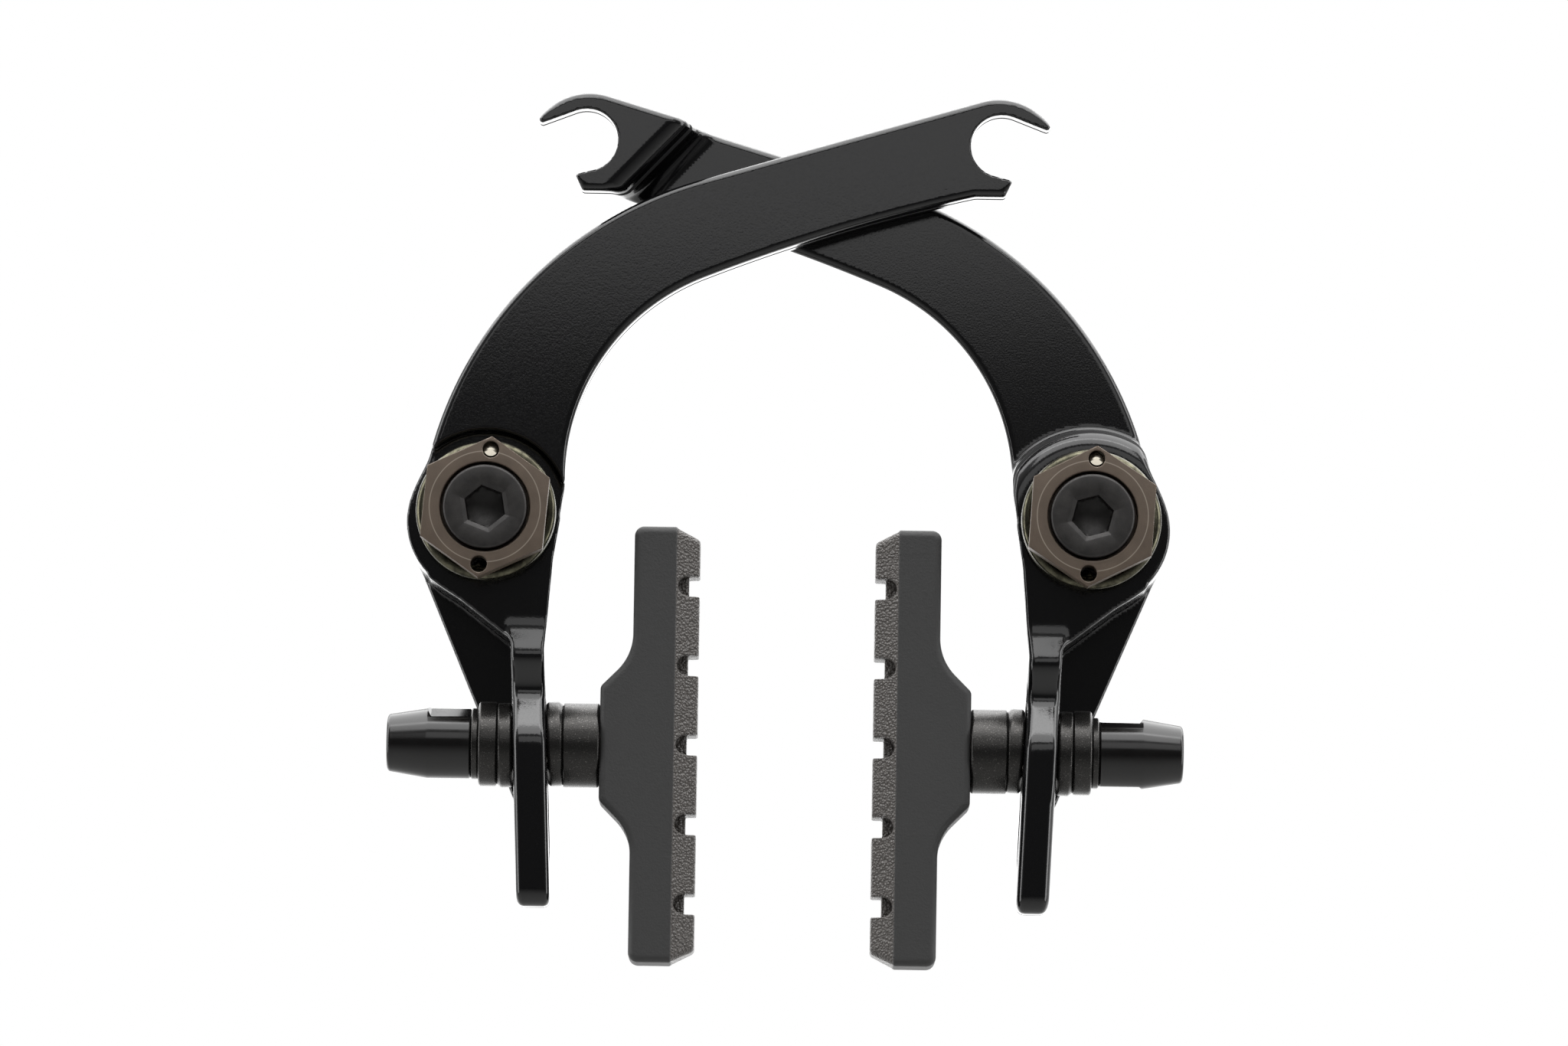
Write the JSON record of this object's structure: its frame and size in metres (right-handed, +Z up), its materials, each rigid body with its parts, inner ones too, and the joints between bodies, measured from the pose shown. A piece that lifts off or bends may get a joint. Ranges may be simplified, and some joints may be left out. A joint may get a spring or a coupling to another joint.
{
  "type": "bicycle u-brake",
  "caption": "Centre-pull bicycle U-brake: crossing black arms on frame pivots, with cable hooks above and rubber shoes on ball washers in slotted plates below.",
  "frame": {"origin": "midway between the two pivot axes, on the plane of the frame posts' shoulders", "axes": "+X to the right seen from the front, +Y along the pivots towards the frame, +Z up towards the cable hooks"},
  "size_m": [0.1068, 0.0263, 0.1166],
  "materials": {
    "arm": "gloss black coat",
    "bushing": "turned",
    "spring_nut": "satin bronze-brown",
    "bolt": "black oxide",
    "spring": "bright wire",
    "washer": "satin black",
    "pad_nut": "gloss black",
    "post": "threaded, dark",
    "pad": "moulded, matte"
  },
  "bodies": {
    "pivots": {"left_pivot_bushing": "bushing", "left_spring_nut": "spring_nut", "left_pivot_bolt": "bolt", "left_torsion_spring": "spring", "right_pivot_bushing": "bushing", "right_spring_nut": "spring_nut", "right_pivot_bolt": "bolt", "right_torsion_spring": "spring"},
    "left_arm": {"left_arm": "arm"},
    "left_ball_seat": {"left_inner_dome_washer": "washer", "left_outer_dome_washer": "washer"},
    "left_ball_cups": {"left_inner_cup_washer": "washer", "left_outer_cup_washer": "washer"},
    "left_shoe": {"left_flat_washer": "washer", "left_pad_nut": "pad_nut", "left_pad_post": "post", "left_brake_pad": "pad"},
    "right_arm": {"right_arm": "arm"},
    "right_ball_seat": {"right_inner_dome_washer": "washer", "right_outer_dome_washer": "washer"},
    "right_ball_cups": {"right_inner_cup_washer": "washer", "right_outer_cup_washer": "washer"},
    "right_shoe": {"right_flat_washer": "washer", "right_pad_nut": "pad_nut", "right_pad_post": "post", "right_brake_pad": "pad"}
  },
  "joints": [
    {"name": "left_arm_swing", "type": "hinge", "parent": "pivots", "child": "left_arm", "pos_m": [-0.0405, 0, 0], "axis": [0, -1, 0], "range_deg": [-6, 8], "stiffness_Nm_per_rad": 3, "deforming": ["left_torsion_spring"]},
    {"name": "left_shoe_slide", "type": "slide", "parent": "left_arm", "child": "left_ball_seat", "axis": [-0.0401, 0, 0.9992], "range_m": [-0.0124, 0.003]},
    {"name": "left_shoe_tip", "type": "hinge", "parent": "left_ball_seat", "child": "left_ball_cups", "pos_m": [-0.03415, -0.0096, -0.0308], "axis": [-0.0401, 0, 0.9992], "range_deg": [-6, 6]},
    {"name": "left_shoe_turn", "type": "hinge", "parent": "left_ball_cups", "child": "left_shoe", "pos_m": [-0.03415, -0.0096, -0.0308], "axis": [1, 0, 0], "continuous": true},
    {"name": "right_arm_swing", "type": "hinge", "parent": "pivots", "child": "right_arm", "pos_m": [0.0405, 0, 0], "axis": [0, 1, 0], "range_deg": [-6, 8], "stiffness_Nm_per_rad": 3, "deforming": ["right_torsion_spring"]},
    {"name": "right_shoe_slide", "type": "slide", "parent": "right_arm", "child": "right_ball_seat", "axis": [0.0401, 0, 0.9992], "range_m": [-0.0124, 0.003]},
    {"name": "right_shoe_tip", "type": "hinge", "parent": "right_ball_seat", "child": "right_ball_cups", "pos_m": [0.03415, -0.0096, -0.0308], "axis": [0.0401, 0, 0.9992], "range_deg": [-6, 6]},
    {"name": "right_shoe_turn", "type": "hinge", "parent": "right_ball_cups", "child": "right_shoe", "pos_m": [0.03415, -0.0096, -0.0308], "axis": [1, 0, 0], "continuous": true}
  ],
  "couplings": [
    {"joint": "right_arm_swing", "follows": "left_arm_swing", "ratio": 1}
  ]
}
